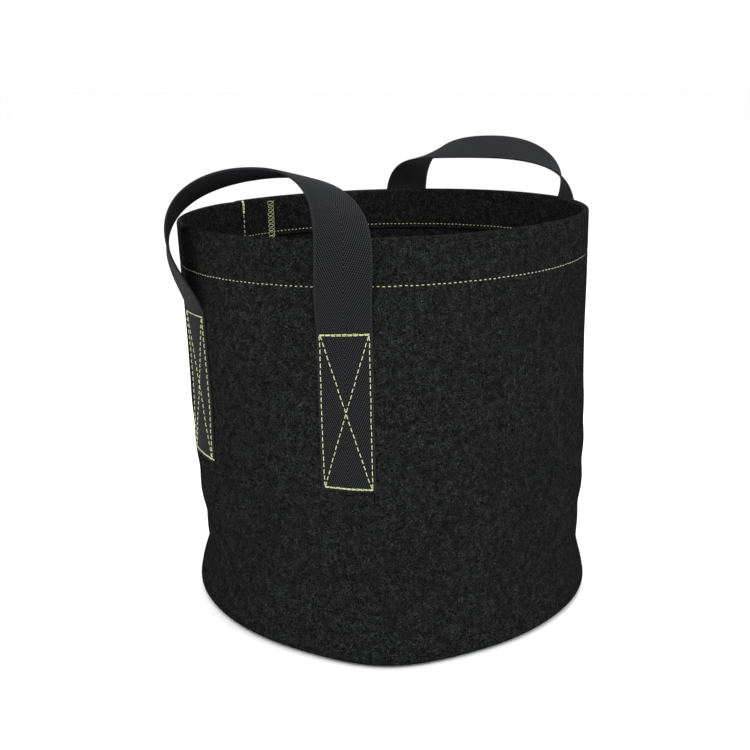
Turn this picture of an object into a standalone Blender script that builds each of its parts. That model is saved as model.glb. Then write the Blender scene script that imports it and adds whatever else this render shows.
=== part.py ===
"""A round fabric grow bag: a felt wall with a turned-in hem, a felt base and two webbing handles.

Metres, +Z up. The origin is the centre of the base's underside, and the handles stand at -Y and +Y.
Azimuth is measured from -Y towards +X.
"""

from math import atan2, cos, pi, radians, sin
from typing import NamedTuple

import bmesh
import bpy
from mathutils import Matrix, Quaternion, Vector

# The bag
RADIUS = 0.210  # outside of the wall
HEIGHT = 0.400
FELT = 0.003  # one layer of felt
GAP = 0.0003  # between pieces that touch
EDGE_RADIUS = 0.010  # rounded bottom edge
FOOT = RADIUS - FELT - EDGE_RADIUS  # where the wall meets the base
SEAM_HEIGHT = 0.013  # top of the base seam, inside
HEM_DEPTH = 0.047
FOLD_ROUND = 0.0025  # rounding of the fold along the rim

# The lapped side seam: the wall's outer end stops at SEAM, and its inner end runs on under it
SEAM = radians(-92.0)
LAP = radians(14.0)
DIP = radians(9.0)  # where the inner end comes up level with the outer end
CUT = 0.002  # azimuth kept clear of a cut end

# The handles
WEB_WIDTH = 0.050
WEB_THICKNESS = 0.0022
HANDLE_HALF = radians(25.3)  # from a handle's middle to each of its sewn ends
END_BOTTOM = 0.170
END_TOP = 0.3195
ROOT_TOP = 0.346  # the strap stays with its sewn end up to here
LOOP_FROM = 0.3485  # and the free loop starts here: the strap bends in between
FLAT_FROM = 0.35  # the strap is flat across, no longer bent round the wall, from this share of its half run


class Arch(NamedTuple):
    """How a handle's free strap stands. Each handle has settled in its own way."""

    top: float  # height of its middle
    out: float  # its middle, outwards from the bag's axis
    tilt: float  # lean of its middle towards the bag
    lean_out: float  # slopes of the strap as it leaves its sewn end
    lean_side: float
    leg_pull: float  # how far the curve runs on in the leg's and the middle's directions
    middle_pull: float
    bow: float  # how far it bows outwards between the two
    turned_by: float  # share of its length by which it has turned to the middle's tilt


ARCHES = {
    "front": Arch(0.4521, 0.1723, radians(14.0), 0.08, 0.05, 0.034, 0.1475, 0.0209, 0.93),
    "back": Arch(0.4496, 0.2057, radians(25.0), 0.20, 0.12, 0.028, 0.1650, 0.0124, 1.0),
}

# The stitching
BOX_WIDTH = 0.0446
BOX_BOTTOM = 0.173
BOX_TOP = 0.3165
THREAD = 0.0006  # radius of a sewing thread
LINE = 0.0012  # width of a stitched line
STITCH_DEPTH = 0.042  # the hem's stitching, below the rim
SEAM_LINE = 0.005  # the side seam's stitching, from the outer end's edge
OVERLOCK_WIDTH = 0.0065
OVERLOCK_THICKNESS = 0.001
BASE_THREAD = 0.0013  # radius of the base seam's looped threads

ROUND_STEPS = 72
SIDES = {"left": -1, "right": 1}
HANDLES = {"front": 0.0, "back": pi}


def clear_scene():
    for obj in list(bpy.data.objects):
        bpy.data.objects.remove(obj)


def material(name, color, roughness):
    made = bpy.data.materials.new(name)
    made.use_nodes = True
    shader = made.node_tree.nodes["Principled BSDF"]
    shader.inputs["Base Color"].default_value = (*color, 1.0)
    shader.inputs["Roughness"].default_value = roughness
    shader.inputs["Metallic"].default_value = 0.0
    return made


def add_object(name, data, color, roughness):
    obj = bpy.data.objects.new(name, data)
    data.materials.append(material(name, color, roughness))
    bpy.context.scene.collection.objects.link(obj)
    return obj


def felt(name, data):
    return add_object(name, data, (0.020, 0.020, 0.021), 0.95)


def webbing(name, data):
    return add_object(name, data, (0.028, 0.028, 0.030), 0.75)


def thread(name, data):
    return add_object(name, data, (0.62, 0.66, 0.26), 0.6)


def on_wall(azimuth, radius, z):
    return Vector((radius * sin(azimuth), -radius * cos(azimuth), z))


def steps(first, last, count):
    return [first + (last - first) * k / count for k in range(count + 1)]


def finish_mesh(name, bm):
    bmesh.ops.recalc_face_normals(bm, faces=bm.faces)
    if bm.calc_volume(signed=True) < 0:
        bmesh.ops.reverse_faces(bm, faces=bm.faces)
    mesh = bpy.data.meshes.new(name)
    bm.to_mesh(mesh)
    bm.free()
    mesh.shade_smooth()
    mesh.set_sharp_from_angle(angle=radians(35))
    return mesh


def skin(bm, loops, joined):
    """Faces between loops of points of one length. A ring of loops is joined, and a run of them is open."""
    made = [[bm.verts.new(p) for p in loop] for loop in loops]
    pairs = list(zip(made, made[1:]))
    if joined:
        pairs.append((made[-1], made[0]))
    for a, b in pairs:
        for i in range(len(a)):
            j = (i + 1) % len(a)
            bm.faces.new((a[i], a[j], b[j], b[i]))
    return made


def strip_mesh(name, sections):
    """A flat strip. Each section is (points of the outer face, points of the inner face), side to side."""
    bm = bmesh.new()
    made = skin(bm, [list(outer) + list(inner)[::-1] for outer, inner in sections], joined=False)
    for loop in (made[0], made[-1]):
        for i in range(len(loop) // 2 - 1):
            bm.faces.new((loop[i], loop[i + 1], loop[-2 - i], loop[-1 - i]))
    return finish_mesh(name, bm)


# The felt


def wall_faces(turn):
    """(outer, inner) radius of the wall at a turn from the outer end's edge, from 0 to a full turn."""
    dipped = (1 + cos(pi * turn / DIP)) / 2 if turn < DIP else 0.0
    layers = 2 if turn > 2 * pi - LAP else 1
    outer = RADIUS - FELT * dipped
    return outer, outer - FELT * layers


def wall_section(turn):
    """The wall's outline from the base seam, up the outside, over the rim and down the inside."""
    outer, inner = wall_faces(turn)
    hem = inner - FELT
    points = []
    for k in range(5):
        a = pi / 2 * k / 4
        points.append((FOOT + (outer - FOOT) * sin(a), EDGE_RADIUS * (1 - cos(a))))
    points += [(outer, HEIGHT * k / 4) for k in (1, 2, 3)]
    for centre, start in ((outer - FOLD_ROUND, 0.0), (hem + FOLD_ROUND, pi / 2)):
        for k in range(4):
            a = start + pi / 2 * k / 3
            points.append((centre + FOLD_ROUND * cos(a), HEIGHT - FOLD_ROUND * (1 - sin(a))))
    points += [(hem, HEIGHT - HEM_DEPTH), (inner, HEIGHT - HEM_DEPTH - GAP), (inner, HEIGHT / 2)]
    points += [(inner, SEAM_HEIGHT + FELT), (FOOT + FELT, SEAM_HEIGHT), (FOOT, SEAM_HEIGHT)]
    return [on_wall(SEAM + turn, r, z) for r, z in points]


def wall_turns():
    edge = 0.0005
    full = 2 * pi
    turns = steps(edge, DIP, 6) + steps(DIP, full - LAP - edge, ROUND_STEPS - 4)[1:]
    return turns + steps(full - LAP + edge, full - edge, 4)


def wall_panel():
    bm = bmesh.new()
    skin(bm, [wall_section(turn) for turn in wall_turns()], joined=True)
    felt("wall_panel", finish_mesh("wall_panel", bm))


def base_panel():
    bm = bmesh.new()
    bmesh.ops.create_circle(bm, cap_ends=True, segments=ROUND_STEPS, radius=FOOT - GAP)
    raised = bmesh.ops.extrude_face_region(bm, geom=bm.faces[:])
    top = [v for v in raised["geom"] if isinstance(v, bmesh.types.BMVert)]
    bmesh.ops.translate(bm, verts=top, vec=(0, 0, FELT))
    obj = felt("base_panel", finish_mesh("base_panel", bm))
    bevel = obj.modifiers.new("edge", "BEVEL")
    bevel.width = FELT / 4
    bevel.segments = 2


# The stitched lines


def thread_line(name, points, radius=THREAD, closed=False):
    curve = bpy.data.curves.new(name, "CURVE")
    curve.dimensions = "3D"
    curve.bevel_depth = radius
    curve.bevel_resolution = 1
    curve.use_fill_caps = True
    spline = curve.splines.new("POLY")
    spline.points.add(len(points) - 1)
    for place, p in zip(spline.points, points):
        place.co = (*p, 1.0)
    spline.use_cyclic_u = closed
    thread(name, curve)


def hem_threads():
    """The hem's two threads, on the outside and on the inside, each from one end of the wall to the other."""
    z = HEIGHT - STITCH_DEPTH
    clear = GAP + THREAD
    outside = [t for t in wall_turns() if CUT < t < 2 * (pi - SEAM_LINE / RADIUS)]
    thread_line("hem_needle_thread", [on_wall(SEAM + t, wall_faces(t)[0] + clear, z) for t in outside])
    inside = [t for t in wall_turns() if CUT < t < 2 * pi - LAP - DIP / 2]
    radii = [wall_faces(t)[1] - FELT - clear for t in inside]
    thread_line("hem_bobbin_thread", [on_wall(SEAM + t, r, z) for t, r in zip(inside, radii)])


def side_seam_threads():
    azimuth = SEAM - SEAM_LINE / RADIUS
    clear = GAP + THREAD
    low, high = EDGE_RADIUS, HEIGHT - 2 * FOLD_ROUND
    outside = [on_wall(azimuth, RADIUS + clear, z) for z in steps(low, high, 8)]
    thread_line("side_seam_needle_thread", outside)
    step = HEIGHT - HEM_DEPTH - 2 * THREAD
    inner = RADIUS - 2 * FELT - clear
    path = [(inner, SEAM_HEIGHT * 2), (inner, step - FELT)]
    path += [(inner - FELT, step + THREAD), (inner - FELT, high)]
    thread_line("side_seam_bobbin_thread", [on_wall(azimuth, r, z) for r, z in path])


def overlock():
    """The looped thread along the inner end's edge, inside the bag. It steps over the hem's edge."""
    step = HEIGHT - HEM_DEPTH - GAP
    inner = RADIUS - 2 * FELT - GAP
    path = [(inner, SEAM_HEIGHT * 2), (inner, step - FELT), (inner - FELT, step - GAP)]
    path.append((inner - FELT, HEIGHT - 2 * FOLD_ROUND))
    azimuths = steps(SEAM - LAP + CUT, SEAM - LAP + CUT + OVERLOCK_WIDTH / RADIUS, 2)
    sections = []
    for radius, z in path:
        outer = [on_wall(a, radius, z) for a in azimuths]
        sections.append((outer, [on_wall(a, radius - OVERLOCK_THICKNESS, z) for a in azimuths]))
    thread("side_seam_overlock", strip_mesh("side_seam_overlock", sections))


def base_seam():
    radius = FOOT + BASE_THREAD
    z = SEAM_HEIGHT + GAP + BASE_THREAD
    ring = [on_wall(2 * pi * k / ROUND_STEPS, radius, z) for k in range(ROUND_STEPS)]
    thread_line("base_seam_thread", ring, BASE_THREAD, closed=True)


def box_faces(bm):
    """A stitched box with its two diagonals, laid flat: X across, Z up."""
    half, low, high = BOX_WIDTH / 2, BOX_BOTTOM, BOX_TOP
    middle = (low + high) / 2
    tall = (high - low) / 2
    slant = (half * half + tall * tall) ** 0.5
    beside, above = LINE * slant / tall / 2, LINE * slant / half / 2  # half a diagonal's width, across and up
    corners = [(-1, 1), (1, 1), (1, -1), (-1, -1)]
    outer = [bm.verts.new((x * half, 0, middle + y * tall)) for x, y in corners]
    level = [bm.verts.new((x * (half - LINE - beside), 0, middle + y * (tall - LINE))) for x, y in corners]
    upright = [bm.verts.new((x * (half - LINE), 0, middle + y * (tall - LINE - above))) for x, y in corners]
    top = bm.verts.new((0, 0, middle + above))
    right = bm.verts.new((beside, 0, middle))
    bottom = bm.verts.new((0, 0, middle - above))
    left = bm.verts.new((-beside, 0, middle))
    inner = [(top, left), (top, right), (bottom, right), (bottom, left)]
    for i in range(4):
        j = (i + 1) % 4
        side = level if i % 2 == 0 else upright
        bm.faces.new((outer[i], outer[j], side[j], side[i]))
        bm.faces.new((outer[i], level[i], upright[i]))
        bm.faces.new((level[i], inner[i][0], inner[i][1], upright[i]))
    bm.faces.new((top, right, bottom, left))


def box_thread(name, azimuth, radius):
    bm = bmesh.new()
    box_faces(bm)
    for x in steps(-BOX_WIDTH / 3, BOX_WIDTH / 3, 4):
        everything = bm.verts[:] + bm.edges[:] + bm.faces[:]
        bmesh.ops.bisect_plane(bm, geom=everything, dist=1e-7, plane_co=(x, 0, 0), plane_no=(1, 0, 0))
    raised = bmesh.ops.extrude_face_region(bm, geom=bm.faces[:])
    top = [v for v in raised["geom"] if isinstance(v, bmesh.types.BMVert)]
    bmesh.ops.translate(bm, verts=top, vec=(0, 2 * THREAD, 0))
    for v in bm.verts:
        v.co = on_wall(azimuth + v.co.x / RADIUS, radius + v.co.y, v.co.z)
    thread(name, finish_mesh(name, bm))


# The handles


def run_line(arch, share):
    """(centre, direction) of a front handle's free strap, from its right sewn end at 0 to its middle at 1."""
    foot = on_wall(HANDLE_HALF, RADIUS + GAP + WEB_THICKNESS / 2, END_TOP)
    middle = Vector((0, -arch.out, arch.top))
    leg = foot + Vector((arch.lean_side, -arch.lean_out, 1)).normalized() * arch.leg_pull
    level = middle + Vector((arch.middle_pull, 0, 0))
    bow = Vector((0, -16 * arch.bow, 0))  # halfway, (s * r) ** 2 is a sixteenth
    s, r = share, 1 - share
    centre = foot * r**3 + leg * (3 * r * r * s) + level * (3 * r * s * s) + middle * s**3
    centre += bow * (s * r) ** 2
    along = (leg - foot) * (3 * r * r) + (level - leg) * (6 * r * s) + (middle - level) * (3 * s * s)
    along += bow * (2 * s * r * (r - s))
    return centre, along.normalized()


def run_length(arch, share):
    places = [run_line(arch, s)[0] for s in steps(0.0, share, 24)]
    return sum((b - a).length for a, b in zip(places, places[1:]))


def share_at(arch, height):
    """How far along its half run the strap reaches a height on its way up."""
    low, high = 0.0, 0.5
    for _ in range(30):
        share = (low + high) / 2
        if run_line(arch, share)[0].z < height:
            low = share
        else:
            high = share
    return low


def free_run(arch, share):
    """(centre, across, outwards) of the free strap, which turns about its own line as it rises."""
    centre, along = run_line(arch, share)
    sewn = Vector((cos(HANDLE_HALF), sin(HANDLE_HALF), 0))
    held = Vector((0, cos(arch.tilt), -sin(arch.tilt)))
    sewn, held = (v - along * v.dot(along) for v in (sewn, held))
    sewn.normalize()
    turned = atan2(sewn.cross(held).dot(along), sewn.dot(held))
    risen = min(1.0, run_length(arch, share) / run_length(arch, 1.0) / arch.turned_by)
    across = Quaternion(along, turned * risen * risen * (3 - 2 * risen)) @ sewn
    return centre, across, across.cross(along)


def strap_section(centre, across, outwards, camber):
    """The strap's outer and inner faces, side to side. With a camber of 1 it bends round the wall."""
    faces = []
    for side in (1, -1):
        face = []
        for w in steps(-WEB_WIDTH / 2, WEB_WIDTH / 2, 6):
            drop = camber * w * w / (2 * RADIUS)
            face.append(centre + across * w + outwards * (side * WEB_THICKNESS / 2 - drop))
        faces.append(face)
    return faces


def half_run(arch, first, last, count):
    sections = []
    for share in steps(first, last, count):
        camber = max(0.0, 1 - share / FLAT_FROM)
        sections.append(strap_section(*free_run(arch, share), camber))
    return sections


def mirrored(sections):
    flip = Matrix.Diagonal((-1, 1, 1))
    return [[[flip @ p for p in face] for face in section] for section in sections]


def sewn_end(arch):
    """The right sewn end of a front handle, and the root of the strap where it leaves the wall."""
    reach = RADIUS + GAP + WEB_THICKNESS / 2
    across = Vector((cos(HANDLE_HALF), sin(HANDLE_HALF), 0))
    outwards = on_wall(HANDLE_HALF, 1, 0)
    heights = steps(END_BOTTOM, END_TOP, 3)[:-1]
    flat = [strap_section(on_wall(HANDLE_HALF, reach, z), across, outwards, 1.0) for z in heights]
    return flat + half_run(arch, 0.0, share_at(arch, ROOT_TOP), 3)


def free_loop(arch):
    right = half_run(arch, share_at(arch, LOOP_FROM), 1.0, 16)
    return right + mirrored(right[:-1])[::-1]


def handle(name, arch, turn):
    spin = Matrix.Rotation(turn, 3, "Z")
    right = sewn_end(arch)
    shapes = {"right_end": right, "left_end": mirrored(right), "loop": free_loop(arch)}
    for part, sections in shapes.items():
        node = f"handle_{name}_{part}"
        placed = [[[spin @ p for p in face] for face in section] for section in sections]
        webbing(node, strip_mesh(node, placed))
    outside = RADIUS + WEB_THICKNESS + 2 * GAP
    inside = RADIUS - FELT - GAP - 2 * THREAD
    for side, sign in SIDES.items():
        azimuth = turn + sign * HANDLE_HALF
        box_thread(f"box_x_{name}_{side}_needle_thread", azimuth, outside)
        box_thread(f"box_x_{name}_{side}_bobbin_thread", azimuth, inside)


def main():
    clear_scene()
    wall_panel()
    base_panel()
    base_seam()
    hem_threads()
    side_seam_threads()
    overlock()
    for name, turn in HANDLES.items():
        handle(name, ARCHES[name], turn)


main()
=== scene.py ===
"""The looks of a round felt grow bag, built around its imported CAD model.

Metres, +Z up, in the CAD model's frame: the origin is the centre of the base's underside, and the
handles stand at -Y and +Y. Azimuth is measured from -Y towards +X. A turn is the azimuth on from
the outer end of the side seam. Pieces are made straight, and settle() then gives them the lean,
bulges and ripples of a filled bag.
"""

import random
from math import atan2, ceil, cos, inf, pi, radians, sin, sqrt
from typing import NamedTuple

import bpy
import numpy as np
from mathutils import Matrix, Quaternion, Vector, noise


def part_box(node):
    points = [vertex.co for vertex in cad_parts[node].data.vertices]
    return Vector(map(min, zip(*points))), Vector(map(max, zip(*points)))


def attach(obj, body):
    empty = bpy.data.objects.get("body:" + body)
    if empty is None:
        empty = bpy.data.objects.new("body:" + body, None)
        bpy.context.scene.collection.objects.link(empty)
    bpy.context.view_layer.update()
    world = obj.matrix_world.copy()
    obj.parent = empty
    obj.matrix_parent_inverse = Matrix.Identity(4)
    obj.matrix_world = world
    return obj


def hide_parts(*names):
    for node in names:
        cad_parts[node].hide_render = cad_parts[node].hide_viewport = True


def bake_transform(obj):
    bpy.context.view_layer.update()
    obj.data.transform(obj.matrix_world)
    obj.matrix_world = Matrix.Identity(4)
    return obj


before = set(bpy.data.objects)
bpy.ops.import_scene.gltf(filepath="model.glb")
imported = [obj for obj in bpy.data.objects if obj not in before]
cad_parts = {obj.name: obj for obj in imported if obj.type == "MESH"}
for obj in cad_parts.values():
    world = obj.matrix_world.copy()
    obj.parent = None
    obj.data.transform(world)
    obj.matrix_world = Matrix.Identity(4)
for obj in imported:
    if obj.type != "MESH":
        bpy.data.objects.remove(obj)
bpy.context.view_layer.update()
dice = random.Random(7)

# The bag, as in the CAD model
wall_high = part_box("wall_panel")[1]
base_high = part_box("base_panel")[1]
HEIGHT = wall_high.z
RADIUS = wall_high.x
BASE = base_high.x  # where the wall meets the base
FELT = base_high.z
GAP = 0.0003  # between pieces that touch
EDGE_RADIUS = RADIUS - FELT - BASE
ALLOWANCE = 0.013  # the base seam's edges stand up this far inside
RIM_FROM = HEIGHT - FELT  # the rim starts to round over
HEM_EDGE = HEIGHT - 0.047  # the hem's raw edge, inside the bag
HEM_LINE = HEIGHT - 0.042  # the hem's stitching
SEAM = radians(-92.0)  # azimuth of the side seam's outer end
LAP = radians(14.0)  # the wall's two ends lie over each other
STRIP = 2 * pi + LAP  # length of the wall's strip, as an angle
DIP = radians(9.0)  # the wall steps in over this to pass under the lap
SEAM_LINE = 0.005  # from the seam's outer end to its stitching

# The handles, as in the CAD model
WEB_WIDTH = 0.050
WEB_THICKNESS = 0.0022
HANDLE_HALF = radians(25.3)
END_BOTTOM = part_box("handle_front_right_end")[0].z
END_TOP = 0.3195
FLAT_FROM = 0.35  # share of the free strap's half by which it has lost the wall's curve
REACH = RADIUS + WEB_THICKNESS / 2 + GAP  # the middle of the strap where it is sewn on
BOX_WIDTH = 0.0446
BOX_BOTTOM, BOX_TOP = (corner.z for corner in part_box("box_x_front_right_needle_thread"))


class Arch(NamedTuple):
    """How a handle's free strap stands. Each handle has settled in its own way."""

    top: float  # height of its middle
    out: float  # its middle, outwards from the bag's axis
    tilt: float  # lean of its middle towards the bag
    lean_out: float  # slopes of the strap as it leaves its sewn end
    lean_side: float
    leg_pull: float  # how far the curve runs on in the leg's and the middle's directions
    middle_pull: float
    bow: float  # how far it bows outwards between the two
    turned_by: float  # share of its length by which it has turned to the middle's tilt


ARCHES = {
    "front": Arch(0.4521, 0.1723, radians(14.0), 0.08, 0.05, 0.034, 0.1475, 0.0209, 0.93),
    "back": Arch(0.4496, 0.2057, radians(25.0), 0.20, 0.12, 0.028, 0.1650, 0.0124, 1.0),
}

# The view
VIEW = radians(34.85)  # azimuth of the camera
CAMERA_OUT = 1.134
CAMERA_SIDE = -0.0153
CAMERA_HEIGHT = 0.5324
CAMERA_DOWN = radians(15.3)
LENS = 52.4

# How the filled bag stands, with "right" as the camera sees it
LEAN = -0.0090  # of the rim, to the right
RIM_TILT = 0.0304  # slope of the rim, up to the right
RIGHT = Vector((cos(VIEW), sin(VIEW), 0))


class Push(NamedTuple):
    """A soft bulge of the filled wall, or a dent where it is below 0."""

    out: float
    z: float
    rise: float  # how far it spreads up and down
    azimuth: float = 0.0  # on from the camera's
    width: float = inf  # how far it spreads round the bag, as an angle


PUSHES = (
    Push(0.0065, 0.006, 0.026),  # the foot swells over the floor, below a slight waist
    Push(-0.0022, 0.066, 0.034),
    Push(0.0140, 0.000, 0.050, -0.02, 0.30),  # most of all towards the camera, between two dents
    Push(-0.0030, 0.000, 0.090, -0.95, 0.35),
    Push(-0.0030, 0.000, 0.090, 0.85, 0.30),
    Push(-0.0088, 0.042, 0.085, -1.60, 0.46),  # the left side is drawn in
    Push(-0.0055, 0.180, 0.130, -1.40, 0.45),
    Push(-0.0008, 0.330, 0.090, -1.55, 0.50),
)

# The stitching
THREAD = 0.00040  # radius
HEM_PITCH = 0.0049
BOX_PITCH = 0.0062
SEAM_PITCH = 0.0058
TACK = 0.0125  # length of the side seam's back-tack below the rim
TACK_PITCH = 0.0040
TACK_ROWS = (-0.0009, -0.0003, 0.0004, 0.0010)  # places of its rows across the seam
GROOVE = 0.0013  # the hem's stitching pulls the felt in this far
GROOVE_WIDTH = 0.0022
HEM_SUNK = 0.0012  # its thread lies this deep in the groove
BOX_GROOVE = 0.00045  # the boxes' stitching presses the strap in this far
BOX_GROOVE_WIDTH = 0.0016


# Shapes


def on_wall(azimuth, radius, z):
    return Vector((radius * sin(azimuth), -radius * cos(azimuth), z))


def held(share):
    return min(1.0, max(0.0, share))


def ease(share):
    share = held(share)
    return share * share * (3 - 2 * share)


def hump(distance, spread):
    """1 at no distance, and falling away over about the spread."""
    return np.exp(-((distance / spread) ** 2))


def settle(points):
    """Where points of the straight bag stand on the real one, as an array."""
    made = np.array(points, float).reshape(-1, 3)
    x, y, z = made.T
    azimuth = np.arctan2(x, -y)
    radius = np.maximum(np.hypot(x, y), 1e-9)
    height = np.clip(z / HEIGHT, 0, 1.2)
    ahead = (azimuth - VIEW + pi) % (2 * pi) - pi
    out = sum(p.out * hump(ahead - p.azimuth, p.width) * hump(z - p.z, p.rise) for p in PUSHES)
    loose = np.clip((0.33 - z) / 0.12, 0, 1) * np.clip(z / 0.03, 0, 1)  # between the hem and the foot
    out += 0.0016 * np.sin(5 * azimuth + 9 * height + 0.6) * loose
    out += 0.0009 * np.sin(2 * pi * z / 0.047 + 1.7 * np.sin(2 * azimuth)) * loose * hump(z - 0.10, 0.09)
    out += 0.0010 * np.sin(3 * azimuth + 2.0) * height
    out *= np.clip(radius / RADIUS, 0, 1) ** 3
    made[:, 0] += out * x / radius
    made[:, 1] += out * y / radius
    right = x * RIGHT.x + y * RIGHT.y
    made[:, 2] += RIM_TILT * right * height * np.clip((z - 0.02) / 0.10, 0, 1)
    made[:, 0] += LEAN * height * RIGHT.x
    made[:, 1] += LEAN * height * RIGHT.y
    return made


def add_mesh(name, points, faces, finish, uvs=None):
    """A settled mesh. uvs gives each point's place along and across, in metres."""
    mesh = bpy.data.meshes.new(name)
    mesh.from_pydata(settle(points).tolist(), [], faces)
    if uvs is not None:
        corners = np.zeros(len(mesh.loops), np.int32)
        mesh.loops.foreach_get("vertex_index", corners)
        layer = mesh.uv_layers.new(name="UVMap")
        layer.data.foreach_set("uv", np.array(uvs, np.float32)[corners].ravel())
    mesh.validate()
    mesh.shade_smooth()
    mesh.materials.append(finish)
    obj = bpy.data.objects.new(name, mesh)
    bpy.context.scene.collection.objects.link(obj)
    return obj


def grid_faces(rows, size, rings=True, joined=False):
    """Faces between rows of one size. Each row may be a ring, and the last row may join the first."""
    faces = []
    for r in range(rows if joined else rows - 1):
        a, b = r * size, (r + 1) % rows * size
        for i in range(size if rings else size - 1):
            j = (i + 1) % size
            faces.append((a + i, a + j, b + j, b + i))
    return faces


def end_faces(half, first, turned):
    """Faces that close a ring made of two runs of points, there along one face and back along the other."""
    faces = []
    for i in range(half - 1):
        face = (first + i, first + i + 1, first + 2 * half - 2 - i, first + 2 * half - 1 - i)
        faces.append(face if turned else face[::-1])
    return faces


def ride(obj, node):
    """Fix a piece to the bag, in place of a CAD node."""
    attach(obj, "bag")
    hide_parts(node)


# Materials


def fill(tree, socket, value):
    """Give a socket a constant, or link another socket to it."""
    if isinstance(value, bpy.types.NodeSocket):
        tree.links.new(value, socket)
    else:
        socket.default_value = value


def add(tree, kind, **values):
    """A node of a kind, with its inputs of those names filled."""
    made = tree.nodes.new("ShaderNode" + kind)
    for title, value in values.items():
        fill(tree, made.inputs[title.replace("_", " ")], value)
    return made


def calc(tree, operation, a, b=0.0, c=0.0):
    made = add(tree, "Math")
    made.operation = operation
    for socket, value in zip(made.inputs, (a, b, c)):
        fill(tree, socket, value)
    return made.outputs[0]


def spread(tree, value, low, high, to_low=0.0, to_high=1.0):
    """value from low to high, moved to to_low to to_high and held there."""
    made = add(tree, "MapRange", Value=value, From_Min=low, From_Max=high, To_Min=to_low, To_Max=to_high)
    return made.outputs[0]


def tint(tree, share, low, high):
    """A colour between two, by a share from 0 to 1."""
    made = tree.nodes.new("ShaderNodeMix")
    made.data_type = "RGBA"
    fill(tree, made.inputs[0], share)
    fill(tree, made.inputs[6], (*low, 1.0))  # a Mix node's two colours
    fill(tree, made.inputs[7], (*high, 1.0))
    return made.outputs[2]


def start_material(name, **settings):
    made = bpy.data.materials.new(name)
    made.use_nodes = True
    shader = made.node_tree.nodes["Principled BSDF"]
    for title, value in settings.items():
        shader.inputs[title.replace("_", " ")].default_value = value
    return made, made.node_tree, shader


def dress(tree, shader, colour, height, strength, depth):
    """Give a surface its colour and its fine relief."""
    bump = add(tree, "Bump", Strength=strength, Distance=depth, Height=height)
    fill(tree, shader.inputs["Base Color"], colour)
    fill(tree, shader.inputs["Normal"], bump.outputs[0])


def noise_of(tree, place, scale, detail=2.0, distortion=0.0):
    made = add(tree, "TexNoise", Vector=place, Scale=scale, Detail=detail, Distortion=distortion)
    return made.outputs["Fac"]


def fibres(tree, place, scale, width):
    """Thin wandering lines, like fibres that lie in the surface."""
    wander = noise_of(tree, place, scale, detail=1.5, distortion=1.2)
    off = calc(tree, "ABSOLUTE", calc(tree, "SUBTRACT", wander, 0.5))
    return spread(tree, off, 0.0, width, 1.0, 0.0)


def felt_material(name, dark, light):
    """Needle-punched felt: matted fibres, small knots and a soft unevenness."""
    made, tree, shader = start_material(name, Specular_IOR_Level=0.0)
    place = tree.nodes.new("ShaderNodeTexCoord").outputs["Object"]
    fine = fibres(tree, place, scale=480.0, width=0.060)
    coarse = fibres(tree, place, scale=300.0, width=0.026)
    clump = noise_of(tree, place, scale=150.0, detail=3.0, distortion=0.4)
    patch = noise_of(tree, place, scale=14.0, detail=3.0, distortion=0.2)
    knots = spread(tree, noise_of(tree, place, scale=480.0, detail=1.0), 0.70, 0.82)
    lines = calc(tree, "MAXIMUM", calc(tree, "MULTIPLY", fine, 0.8), coarse)
    lines = calc(tree, "MULTIPLY", lines, spread(tree, clump, 0.34, 0.66, 0.35, 1.0))
    share = calc(tree, "MAXIMUM", lines, knots)
    share = calc(tree, "MULTIPLY", share, spread(tree, patch, 0.3, 0.7, 0.75, 1.0))
    relief = calc(tree, "ADD", calc(tree, "MULTIPLY", clump, 0.9), calc(tree, "MULTIPLY", share, 0.5))
    dress(tree, shader, tint(tree, share, dark, light), relief, strength=0.75, depth=0.0011)
    fill(tree, shader.inputs["Roughness"], spread(tree, clump, 0.3, 0.7, 0.86, 0.98))
    return made


def own_place(tree):
    """A point's place on its own piece as a socket, and the two parts of it: along and across."""
    made = tree.nodes.new("ShaderNodeUVMap")
    made.uv_map = "UVMap"
    parts = add(tree, "SeparateXYZ", Vector=made.outputs[0])
    return made.outputs[0], parts.outputs[0], parts.outputs[1]


def wave(tree, value):
    """0 to 1 and back, once for each 1 that the value grows."""
    turned = calc(tree, "SINE", calc(tree, "MULTIPLY", value, 2 * pi))
    return calc(tree, "MULTIPLY_ADD", turned, 0.5, 0.5)


def webbing_material(name, dark, light):
    """Herringbone webbing: steep ribs that meet in chevrons down the middle, each rib a row of floats."""
    rib_along, rib_across = 0.0042, 0.0020  # one rib's length each way
    float_along, float_slant = 0.0021, 90.0
    edge_from, edge_to, edge_cord = 0.0228, 0.0236, 0.0013  # the woven edge, and its cords' width
    made, tree, shader = start_material(
        name, Roughness=0.72, Sheen_Weight=0.005, Sheen_Roughness=0.4, Specular_IOR_Level=0.03
    )
    place, along, across = own_place(tree)
    off = calc(tree, "ABSOLUTE", across)
    slope = calc(tree, "DIVIDE", off, rib_across)
    ribs = wave(tree, calc(tree, "SUBTRACT", calc(tree, "DIVIDE", along, rib_along), slope))
    slant = calc(tree, "MULTIPLY", off, float_slant)
    floats = wave(tree, calc(tree, "ADD", calc(tree, "DIVIDE", along, float_along), slant))
    weave = calc(tree, "MULTIPLY", ribs, calc(tree, "MULTIPLY_ADD", floats, 0.62, 0.38))
    edge = spread(tree, off, edge_from, edge_to)
    weave = calc(tree, "MULTIPLY", weave, calc(tree, "SUBTRACT", 1.0, edge))
    cords = calc(tree, "MULTIPLY", wave(tree, calc(tree, "DIVIDE", along, edge_cord)), edge)
    height = calc(tree, "ADD", weave, cords)
    fuzz = noise_of(tree, place, scale=900.0, detail=3.0)
    share = calc(tree, "MULTIPLY", height, spread(tree, fuzz, 0.25, 0.75, 0.55, 1.0))
    dress(tree, shader, tint(tree, share, dark, light), height, strength=0.8, depth=0.0006)
    return made


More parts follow.
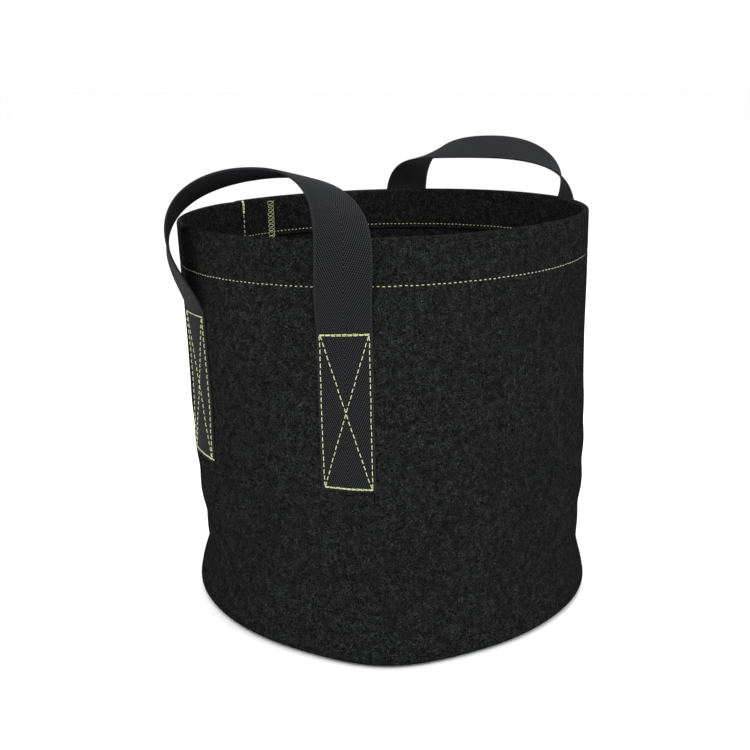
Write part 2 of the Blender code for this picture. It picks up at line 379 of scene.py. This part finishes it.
def thread_material(name, dark, light):
    """Twisted sewing thread: two plies that wind round it, paler where they are worn."""
    ply_along, plies = 0.0016, 2
    made, tree, shader = start_material(
        name, Roughness=0.5, Sheen_Weight=0.15, Sheen_Roughness=0.4, Specular_IOR_Level=0.4
    )
    _, along, around = own_place(tree)
    wound = calc(tree, "MULTIPLY", around, plies)
    twist = wave(tree, calc(tree, "ADD", calc(tree, "DIVIDE", along, ply_along), wound))
    place = tree.nodes.new("ShaderNodeTexCoord").outputs["Object"]
    wear = spread(tree, noise_of(tree, place, scale=260.0), 0.2, 0.8, 0.6, 1.0)
    share = calc(tree, "MULTIPLY", spread(tree, twist, 0.0, 1.0, 0.45, 1.0), wear)
    dress(tree, shader, tint(tree, share, dark, light), twist, strength=0.7, depth=0.0003)
    return made


def floor_material(name):
    colour = (0.99, 0.99, 0.99, 1.0)
    return start_material(name, Base_Color=colour, Roughness=0.85, Specular_IOR_Level=0.2)[0]


FELT_FINISH = felt_material("felt", (0.0023, 0.0025, 0.0023), (0.050, 0.053, 0.051))
WEB_FINISH = webbing_material("webbing", (0.0005, 0.0005, 0.0007), (0.041, 0.042, 0.046))
THREAD_FINISH = thread_material("thread", (0.26, 0.28, 0.12), (0.66, 0.68, 0.36))


# The felt

PRESSED = 0.25  # share of its thickness that the felt loses where four layers lie together
MAKE_ROOM = 0.010  # height over which the lap steps in further for the hem
NEAR_HEM = 0.010  # rows are closer together within this of the hem's stitching
FOLD = 0.0004  # radius inside the fold along the rim
INNER_CURVE = EDGE_RADIUS + 0.004  # of the wall's inner face, where it turns up from the base
ROW_GAP = 0.0005  # least distance between two rows
SOFT_EDGE = 0.0012  # rounding of the base's edges


def layers(turn, z):
    """(outer radius, thickness) of the wall's strip.

    Its inner end, at a turn of -LAP, lies under its outer end, at a full turn.
    """
    under = (1 + cos(pi * held(turn / DIP))) / 2
    over = ease((turn - 2 * pi + LAP + DIP) / DIP)
    hemmed = ease((z - HEM_EDGE + MAKE_ROOM) / MAKE_ROOM)
    thick = FELT * (1 - PRESSED * max(under, over) * hemmed)
    outer = RADIUS - under * (FELT + GAP + (2 * thick - FELT) * hemmed)
    return outer, thick


def groove(z):
    """How far the hem's stitching pulls the felt in at a height."""
    return GROOVE * float(hump(z - HEM_LINE, GROOVE_WIDTH))


def outside_heights():
    """Heights of the rows up the wall's outside."""
    near = [HEM_LINE + NEAR_HEM * share for share in (-1, -0.6, -0.35, -0.18, 0, 0.18, 0.35, 0.6, 1)]
    below = [EDGE_RADIUS + (near[0] - EDGE_RADIUS) * k / 44 for k in range(44)]
    above = [near[-1] + (RIM_FROM - near[-1]) * k / 8 for k in range(1, 9)]
    return below + near + above


def wall_rows(turn, pucker):
    """The strip's two faces at a turn, as (radius, height) from the base seam round to the hem's raw edge."""
    outside, inside = [], []
    foot = layers(turn, 0)[0]
    for z in (ALLOWANCE, 0.009, 0.005, 0.0015):
        outside.append((BASE + GAP, z))
        inside.append((BASE + FELT, max(z, FELT + 0.0008)))
    for k in range(9):
        a = pi / 2 * k / 8
        outside.append((BASE + (foot - BASE) * sin(a), EDGE_RADIUS * (1 - cos(a))))
        reach = max(ROW_GAP, foot - BASE - 2 * FELT)
        inside.append((BASE + FELT + reach * sin(a), FELT + INNER_CURVE * (1 - cos(a))))
    for z in outside_heights()[1:]:
        outer, thick = layers(turn, z)
        dent = groove(z) * pucker
        outside.append((outer - dent, z))
        inside.append((outer - thick + 0.2 * dent, max(z, FELT + INNER_CURVE + ROW_GAP)))
    outer, thick = layers(turn, HEIGHT)
    for k in range(1, 10):
        a = pi * k / 10
        outside.append((outer - thick + thick * cos(a), RIM_FROM + FELT * sin(a)))
        inside.append((outer - thick + FOLD * cos(a), RIM_FROM + FOLD * sin(a)))
    for z in [h for h in outside_heights()[::-1] if h > HEM_EDGE + 0.001] + [HEM_EDGE + 0.0006]:
        outer, thick = layers(turn, z)
        outside.append((outer - 2 * thick + groove(z) * pucker, z))
        inside.append((outer - thick - GAP, z))
    outer, thick = layers(turn, HEM_EDGE)
    outside.append((outer - 1.75 * thick, HEM_EDGE))
    inside.append((outer - 1.15 * thick - GAP, HEM_EDGE))
    return outside, inside


def raggedness(turn, z, side):
    """A cut edge's small unevenness, as an angle."""
    long_wave = noise.noise(Vector((40 * z, side * 7.3, turn)) * 4)
    short_wave = noise.noise(Vector((300 * z, side * 3.1, 2.0)))
    return 0.0022 * long_wave + 0.0012 * short_wave


def felt_wall():
    """The wall, one strip of felt, lapped at its side seam and folded in along the rim for its hem."""
    count = 2 * round(STRIP * RADIUS / HEM_PITCH)
    points, uvs = [], []
    for c in range(count + 1):
        turn = -LAP + STRIP * c / count
        outside, inside = wall_rows(turn, 1.0 if c % 2 else 0.2)  # a stitch's middle, or its hole
        end = (c == 0) - (c == count)
        there = list(range(len(outside)))
        for (r, z), row in zip(outside + inside[::-1], there + there[::-1]):
            rough = raggedness(turn, z, end) if end else 0.0
            points.append(on_wall(SEAM + turn + rough, r, z))
            uvs.append((turn * RADIUS, row * 0.004))
    size = len(points) // (count + 1)
    faces = grid_faces(count + 1, size)
    faces += end_faces(size // 2, 0, False) + end_faces(size // 2, count * size, True)
    obj = add_mesh("felt_wall", points, faces, FELT_FINISH, uvs)
    ride(obj, "wall_panel")


def felt_base():
    """The base, a disc of felt whose edge turns up inside the wall, where the two are sewn together."""
    reach = BASE - 0.0004
    within = reach - FELT
    profile = [(reach * k / 30, 0.0) for k in range(30)]
    profile += [(reach - SOFT_EDGE, 0.0), (reach, SOFT_EDGE), (reach, 0.006), (reach, ALLOWANCE - SOFT_EDGE)]
    profile += [(reach - SOFT_EDGE, ALLOWANCE), (within + 0.0008, ALLOWANCE), (within, ALLOWANCE - SOFT_EDGE)]
    profile += [(within, 0.0055), (within - 0.0015, FELT + 0.0005)]
    profile += [(reach * k / 30, FELT) for k in range(29, -1, -1)]
    size, count = len(profile), 180
    points = []
    for c in range(count):
        azimuth = 2 * pi * c / count
        for r, z in profile:
            uneven = 0.0
            if z == FELT:
                uneven = 0.0012 * noise.noise(on_wall(azimuth, r, 0) * 22)
            elif z == ALLOWANCE:
                uneven = 0.0008 * noise.noise(on_wall(azimuth, 30 * r, 5))
            points.append(on_wall(azimuth, max(r, 0.0004), z + uneven))
    faces = grid_faces(count, size, rings=False, joined=True)
    faces.append([c * size for c in range(count)])
    faces.append([c * size + size - 1 for c in range(count)][::-1])
    obj = add_mesh("felt_base", points, [face[::-1] for face in faces], FELT_FINISH)
    ride(obj, "base_panel")


# Thread


def tube(path, radius, sides=6):
    """(points, faces, uvs) of a closed tube along a path, thinner at its two ends."""
    points, uvs = [], []
    path = [Vector(p) for p in path]
    upright = None
    gone = 0.0
    last = len(path) - 1
    for k, place in enumerate(path):
        along = (path[min(k + 1, last)] - path[max(k - 1, 0)]).normalized()
        if upright is None:
            upright = along.orthogonal().normalized()
        upright = (upright - along * upright.dot(along)).normalized()
        beside = along.cross(upright)
        if k:
            gone += (place - path[k - 1]).length
        size = radius * (0.55 if k in (0, last) else 1.0)
        for i in range(sides):
            a = 2 * pi * i / sides
            points.append(place + (upright * cos(a) + beside * sin(a)) * size)
            uvs.append((gone, i / sides))
    faces = grid_faces(len(path), sides)
    faces.append(list(range(sides))[::-1])
    faces.append([last * sides + i for i in range(sides)])
    return points, faces, uvs


def thread_mesh(name, node, paths, radius=THREAD, sides=6):
    """One mesh of many short threads, in place of a CAD node."""
    points, faces, uvs = [], [], []
    for path in paths:
        p, f, u = tube(path, radius, sides)
        faces += [[len(points) + i for i in face] for face in f]
        points += p
        uvs += u
    ride(add_mesh(name, points, faces, THREAD_FINISH, uvs), node)


def stitch(start, end, out, rise=0.0006, sink=0.0009, share=1.0):
    """One stitch's path, from hole to hole, that stands up from the surface between them."""
    path = []
    for k in range(7):
        s = 0.5 + (k / 6 - 0.5) * share
        lift = rise - (rise + sink) * abs(2 * k / 6 - 1) ** 3.5
        path.append(start.lerp(end, s) + out * lift)
    return path


def line_of_stitches(place, length, pitch, share=0.86, wander=0.0002):
    """Stitches along a line. place(distance) gives (point, outward direction) on the felt."""
    count = max(1, round(length / pitch))
    made = []
    for k in range(count):
        a, out = place(length * k / count)
        b, _ = place(length * (k + 1) / count)
        side = (b - a).cross(out).normalized() * dice.uniform(-wander, wander)
        made.append(stitch(a + side, b + side, out, share=share))
    return made


def hem_stitches():
    """The hem's stitching, outside the bag and on the turned-in felt inside it."""
    count = round(STRIP * RADIUS / HEM_PITCH)
    for name, node, deep, sign in (
        ("hem_stitches_outside", "hem_needle_thread", 0, 1),
        ("hem_stitches_inside", "hem_bobbin_thread", 2, -1),
    ):
        paths = []
        for k in range(count):
            turns = [-LAP + STRIP * (k + s) / count for s in (0, 1)]
            hidden = turns[0] < 0 if sign > 0 else turns[1] > 2 * pi - LAP + 0.004
            if hidden:  # by the felt that lies over it at the lap
                continue
            ends = []
            for turn in turns:
                outer, thick = layers(turn, HEM_LINE)
                ends.append(on_wall(SEAM + turn, outer - deep * thick - sign * HEM_SUNK, HEM_LINE))
            out = on_wall(SEAM + turns[0], sign, 0)
            side = Vector((0, 0, dice.uniform(-0.00025, 0.00025)))
            paths.append(stitch(ends[0] + side, ends[1] + side, out, rise=0.0004, sink=0.0014, share=0.80))
        thread_mesh(name, node, paths)


def lap_layer(turn, z, sign):
    """(outer radius, thickness) of the lap's outer layer, or of the inner one under it."""
    return layers(turn if sign > 0 else turn - 2 * pi, z)


def lap_face(turn, z, sign):
    """Radius of the lap's outside, or of its inside, where the inner end lies with its hem."""
    outer, thick = lap_layer(turn, z, sign)
    past = held((z - RIM_FROM) / FELT)
    rounded = thick * (1 - sqrt(1 - past * past))
    if sign > 0:
        return outer - rounded
    hemmed = ease((z - HEM_EDGE + 0.004) / 0.006)
    return outer - thick * (1 + hemmed) + rounded


def over_rim(azimuth, turn, run, sign):
    """(point, outward direction) on a side of the lap, a run above where the rim starts to round over."""
    outer, thick = lap_layer(turn, HEIGHT, sign)
    a = min(max(run / FELT, 0.0), pi / 2)
    reach = outer - thick + sign * (thick + 0.0001) * cos(a)
    z = RIM_FROM + min(run, 0.0) + FELT * sin(a)
    return on_wall(azimuth, reach, z), on_wall(azimuth, sign * cos(a), sin(a))


def side_seam_stitches():
    """The lap's straight stitching, sewn back over itself four times at the rim."""
    azimuth = SEAM - SEAM_LINE / RADIUS
    turn = 2 * pi - SEAM_LINE / RADIUS
    low, high = EDGE_RADIUS + 0.006, RIM_FROM - TACK
    for name, node, sign in (
        ("side_seam_stitches_outside", "side_seam_needle_thread", 1),
        ("side_seam_stitches_inside", "side_seam_bobbin_thread", -1),
    ):

        def place(distance, sign=sign):
            z = low + distance
            return on_wall(azimuth, lap_face(turn, z, sign), z), on_wall(azimuth, sign, 0)

        paths = line_of_stitches(place, high - low, SEAM_PITCH, share=0.70)
        for shift in TACK_ROWS:

            def tack(distance, beside=azimuth + shift / RADIUS, sign=sign):
                return over_rim(beside, turn, distance - TACK, sign)

            paths += line_of_stitches(tack, TACK + 0.0038, TACK_PITCH, share=1.0)
        thread_mesh(name, node, paths)


def overlock():
    """The looped stitch along the raw edge of the wall's inner end, inside the bag."""
    width, pitch, radius = 0.0084, 0.0045, 0.00030
    swing = 0.62  # of a loop up and down, in pitches
    edge = SEAM - LAP
    low, high = EDGE_RADIUS + 0.012, HEIGHT - 0.0030
    loops = []
    for c in range(int((high - low) / pitch)):
        z = low + pitch * c
        slack = max(float(hump(z - HEIGHT, 0.014)), float(hump(z - HEM_EDGE, 0.006)))
        reach = width * (1 + 0.20 * slack + dice.uniform(-0.06, 0.06))
        lean = 0.3 * slack * dice.uniform(-1, 1)
        path = []
        for k in range(15):
            a = 2 * pi * k / 14
            height = z + pitch * (k / 14 + (swing + lean) * sin(a))
            lift = 0.0008 + 0.0004 * sin(a) + 0.0016 * slack * sin(a / 2)
            aside = reach * (0.5 - 0.5 * cos(a)) - 0.0008
            inside = lap_face(2 * pi - LAP / 2, height, -1)
            path.append(on_wall(edge + aside / RADIUS, inside - lift, height))
        loops.append(path)
    thread_mesh("side_seam_overlock_loops", "side_seam_overlock", loops, radius)


def base_seam():
    """The looped stitch that binds the two standing edges round the inside of the base."""
    half, middle, radius = 0.0043, BASE + 0.0002, 0.00045
    count = 300
    loops = []
    for c in range(count):
        path = []
        for k in range(11):
            if k < 5:
                a = pi * k / 5
                r, z = middle - half * cos(a), ALLOWANCE - 0.0030 + 0.0048 * sin(a)
            else:
                r, z = middle + half * (1 - 2 * (k - 5) / 5), ALLOWANCE + 0.0008
            path.append(on_wall(2 * pi * (c + k / 10) / count, r, z))
        loops.append(path)
    thread_mesh("base_seam_loops", "base_seam_thread", loops, radius, sides=5)


def box_lines():
    """The lines of a stitched box with its two diagonals, laid flat: (start, end, sewn over and over).

    A start or an end is its place across and up.
    """
    half, low, high = BOX_WIDTH / 2 - THREAD, BOX_BOTTOM + THREAD, BOX_TOP - THREAD
    made = []
    for z, tip in ((high, 0.0006), (low, -0.0004)):
        for shift in (-0.00035, 0.00035):
            made.append(((-half - 0.0002, z + shift - tip), (half + 0.0004, z + shift + tip), True))
    for x in (-half, half):
        made.append(((x, low), (x, high), False))
    made.append(((-half + 0.0005, low), (half - 0.0005, high), False))
    made.append(((-half + 0.0005, high), (half - 0.0005, low), False))
    return made


def box_stitches(name, node, azimuth, radius, sign):
    """A stitched box on the strap, or its back on the felt inside the bag."""
    paths = []
    for start, end, solid in box_lines():
        length = sqrt((end[0] - start[0]) ** 2 + (end[1] - start[1]) ** 2)
        bow = dice.uniform(-0.0004, 0.0004)

        def place(d, start=start, end=end, length=length, bow=bow):
            s = d / length
            x = start[0] + (end[0] - start[0]) * s
            z = start[1] + (end[1] - start[1]) * s + bow * sin(pi * s)
            return on_wall(azimuth + x / RADIUS, radius, z), on_wall(azimuth + x / RADIUS, sign, 0)

        if solid:
            pitch = 0.0044 + dice.uniform(-0.0006, 0.0006)
            paths += line_of_stitches(place, length, pitch, share=1.06, wander=0.00015)
        else:
            paths += line_of_stitches(place, length, BOX_PITCH, share=0.82)
    if sign > 0 and "front_left" in name:
        paths.append(thread_tail(azimuth, radius))
    thread_mesh(name, node, paths)


def thread_tail(azimuth, radius):
    """A cut thread end that points sideways from the box's lower corner."""
    path = []
    for k in range(8):
        s = k / 7
        x = BOX_WIDTH / 2 + 0.0038 * s
        z = BOX_BOTTOM + 0.0004 - 0.0011 * s * s
        path.append(on_wall(azimuth + x / RADIUS, radius + 0.0005 - 0.0006 * s, z))
    return path


# The handles

SEWN_STEP = 0.0025  # between the rows of a sewn end
FREE_ROWS = 90  # up the free strap to its middle


def run_line(arch, share):
    """(centre, direction) of a front handle's free strap, from its right sewn end at 0 to its middle at 1."""
    foot = on_wall(HANDLE_HALF, REACH, END_TOP)
    middle = Vector((0, -arch.out, arch.top))
    leg = foot + Vector((arch.lean_side, -arch.lean_out, 1)).normalized() * arch.leg_pull
    level = middle + Vector((arch.middle_pull, 0, 0))
    bow = Vector((0, -16 * arch.bow, 0))  # (s * r) ** 2 is a sixteenth halfway
    s, r = share, 1 - share
    centre = foot * r**3 + leg * (3 * r * r * s) + level * (3 * r * s * s) + middle * s**3
    centre += bow * (s * r) ** 2
    along = (leg - foot) * (3 * r * r) + (level - leg) * (6 * r * s) + (middle - level) * (3 * s * s)
    along += bow * (2 * s * r * (r - s))
    return centre, along.normalized()


def run_length(arch, share):
    """Length of the free strap from its sewn end to a share of the way to its middle."""
    places = [run_line(arch, share * k / 24)[0] for k in range(25)]
    return sum((b - a).length for a, b in zip(places, places[1:]))


def free_run(arch, share):
    """(centre, across, outwards) of the free strap, which turns about its own line as it rises."""
    centre, along = run_line(arch, share)
    sewn = Vector((cos(HANDLE_HALF), sin(HANDLE_HALF), 0))
    middle = Vector((0, cos(arch.tilt), -sin(arch.tilt)))
    sewn, middle = (v - along * v.dot(along) for v in (sewn, middle))
    sewn.normalize()
    turned = atan2(sewn.cross(middle).dot(along), sewn.dot(middle))
    risen = run_length(arch, share) / run_length(arch, 1.0) / arch.turned_by
    across = Quaternion(along, turned * ease(risen)) @ sewn
    return centre, across, across.cross(along)


def right_half(arch):
    """Sections of the right half of a front strap, from its cut end to the middle of the arch.

    A section is (centre, across, outwards, camber), where a camber of 1 is the wall's own curve.
    """
    across = Vector((cos(HANDLE_HALF), sin(HANDLE_HALF), 0))
    outwards = on_wall(HANDLE_HALF, 1, 0)
    rise = END_TOP - END_BOTTOM
    count = ceil(rise / SEWN_STEP)
    made = []
    for k in range(count):
        made.append((on_wall(HANDLE_HALF, REACH, END_BOTTOM + rise * k / count), across, outwards, 1.0))
    for k in range(FREE_ROWS + 1):
        share = k / FREE_ROWS
        made.append((*free_run(arch, share), max(0.0, 1 - share / FLAT_FROM)))
    return made


def pressed_by_stitches(across, z):
    """How far the box's stitching presses the strap in, at a place on a sewn end."""
    half, low, high = BOX_WIDTH / 2, BOX_BOTTOM, BOX_TOP
    if z > high + 0.004:
        return 0.0
    slope = BOX_WIDTH / (high - low)
    middle = (low + high) / 2
    lines = [abs(abs(across) - half), abs(z - low), abs(z - high)]
    lines += [abs(across - slope * (z - middle)), abs(across + slope * (z - middle))]
    return max(BOX_GROOVE * float(hump(d, BOX_GROOVE_WIDTH)) for d in lines)


def strap_profile():
    """(place across, half of the thickness) at places across the strap, with its woven edges."""
    count, start = 26, 0.04
    places = []
    for k in range(count + 1):
        w = -0.5 * cos(pi * (start + (1 - 2 * start) * k / count)) / cos(pi * start)
        thick = 1.0 - 0.10 * float(hump(abs(w) - 0.44, 0.02)) + 0.03 * float(hump(abs(w) - 0.485, 0.012))
        if k in (0, count):
            thick = 0.55
        places.append((w * WEB_WIDTH, thick * WEB_THICKNESS / 2))
    return places


def strap_ring(section, profile, gone, turn):
    """The strap's outline at a section, as (place, distance across), at a distance from its first cut end."""
    centre, across, outwards, camber = section
    free = 1 - camber  # a sewn end lies still on the felt
    ripple = 0.0007 * sin(gone * 41 + turn) * free
    ring = []
    for face in (1, -1):
        row = []
        for w, half in profile:
            drop = camber * w * w / (2 * RADIUS)
            press = pressed_by_stitches(w, centre.z) if camber == 1.0 and face == 1 else 0.0
            curl = 0.0006 * (2 * w / WEB_WIDTH) ** 2 * sin(gone * 17 + turn) * free
            row.append((centre + across * w + outwards * (face * half - drop - press + ripple + curl), w))
        ring += row[::face]
    return ring


def strap(name, turn):
    """A handle's single strap, sewn down at both ends, that turns as it rises and arches between them."""
    flip, spin = Matrix.Diagonal((-1, 1, 1)), Matrix.Rotation(turn, 3, "Z")
    right = right_half(ARCHES[name])
    left = [(flip @ c, flip @ a, flip @ o, camber) for c, a, o, camber in right[:-1]]
    sections = right + left[::-1]
    profile = strap_profile()
    half = len(profile)
    points, uvs, gone = [], [], 0.0
    for k, section in enumerate(sections):
        if k:
            gone += (section[0] - sections[k - 1][0]).length
        ring = strap_ring(section, profile, gone, turn)
        points += [spin @ place for place, _ in ring]
        uvs += [(gone, w) for _, w in ring]
    faces = grid_faces(len(sections), 2 * half)
    faces += end_faces(half, 0, False) + end_faces(half, (len(sections) - 1) * 2 * half, True)
    return add_mesh(f"handle_{name}_strap", points, [face[::-1] for face in faces], WEB_FINISH, uvs)


def handle(name, turn):
    """One handle: its strap, which bends above its sewn ends, and the stitched boxes that hold it."""
    obj = strap(name, turn)
    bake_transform(obj)
    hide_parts(*[f"handle_{name}_{part}" for part in ("left_end", "right_end", "loop")])
    outside = RADIUS + GAP + WEB_THICKNESS - 0.0004  # the thread is pulled in a little on both sides
    inside = RADIUS - FELT + 0.0002
    for part, sign in (("left", -1), ("right", 1)):
        azimuth = turn + sign * HANDLE_HALF
        box = f"box_x_{name}_{part}"
        box_stitches(f"{box}_stitches", f"{box}_needle_thread", azimuth, outside, 1)
        box_stitches(f"{box}_stitches_inside", f"{box}_bobbin_thread", azimuth, inside, -1)


# The studio


def aim(obj, direction):
    obj.rotation_mode = "QUATERNION"
    obj.rotation_quaternion = Vector(direction).to_track_quat("-Z", "Y")


def camera():
    data = bpy.data.cameras.new("camera")
    data.lens = LENS
    data.clip_start, data.clip_end = 0.05, 50
    obj = bpy.data.objects.new("camera", data)
    spin = Matrix.Rotation(VIEW, 3, "Z")
    obj.location = spin @ Vector((CAMERA_SIDE, -CAMERA_OUT, CAMERA_HEIGHT))
    aim(obj, spin @ Vector((0, cos(CAMERA_DOWN), -sin(CAMERA_DOWN))))
    bpy.context.scene.collection.objects.link(obj)
    bpy.context.scene.camera = obj


def lamp(name, azimuth, distance, height, size, power):
    """A round lamp that faces the bag's middle. Its azimuth is on from the camera's."""
    data = bpy.data.lights.new(name, "AREA")
    data.shape = "DISK"
    data.size = size
    data.energy = power
    obj = bpy.data.objects.new(name, data)
    obj.location = on_wall(VIEW + azimuth, distance, height)
    aim(obj, Vector((0, 0, HEIGHT / 2)) - obj.location)
    bpy.context.scene.collection.objects.link(obj)


def studio():
    world = bpy.data.worlds.new("studio")
    world.use_nodes = True
    light = world.node_tree.nodes["Background"]
    light.inputs["Color"].default_value = (1.0, 1.0, 1.0, 1.0)
    light.inputs["Strength"].default_value = 1.0
    bpy.context.scene.world = world
    bpy.context.scene.view_settings.view_transform = "Standard"
    lamp("key", radians(-8), distance=1.9, height=1.9, size=1.2, power=34)
    lamp("fill", radians(50), distance=2.1, height=1.3, size=1.4, power=14)
    lamp("top", radians(180), distance=0.3, height=2.3, size=1.0, power=34)
    far = 60.0
    mesh = bpy.data.meshes.new("floor")
    corners = [(-far, -far, 0), (far, -far, 0), (far, far, 0), (-far, far, 0)]
    mesh.from_pydata(corners, [], [(0, 1, 2, 3)])
    mesh.materials.append(floor_material("floor"))
    obj = bpy.data.objects.new("floor", mesh)
    bpy.context.scene.collection.objects.link(obj)


camera()
studio()
felt_wall()
felt_base()
hem_stitches()
side_seam_stitches()
overlock()
base_seam()
for handle_name, handle_turn in (("front", 0.0), ("back", pi)):
    handle(handle_name, handle_turn)
